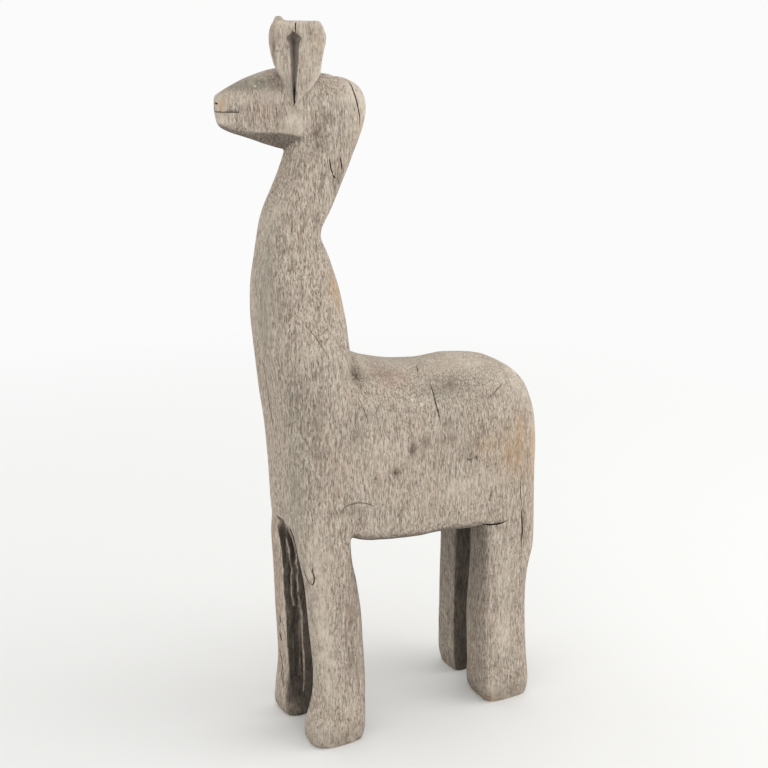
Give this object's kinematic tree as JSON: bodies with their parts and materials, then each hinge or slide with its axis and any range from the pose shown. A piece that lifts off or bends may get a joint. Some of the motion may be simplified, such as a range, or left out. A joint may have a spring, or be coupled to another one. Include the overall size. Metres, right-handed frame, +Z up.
{
  "type": "llama sculpture",
  "caption": "Standing llama carved from one upright block of weathered hardwood, with a long neck, slab ears and thick straight legs.",
  "frame": {"origin": "on the floor, under the centre of the bounding box", "axes": "+Z up, the llama faces -Y and its left side is towards +X"},
  "size_m": [0.1756, 0.4754, 1.053],
  "materials": {
    "wood": "weathered, unfinished, dry"
  },
  "bodies": {
    "root": {"llama": "wood"}
  },
  "joints": []
}
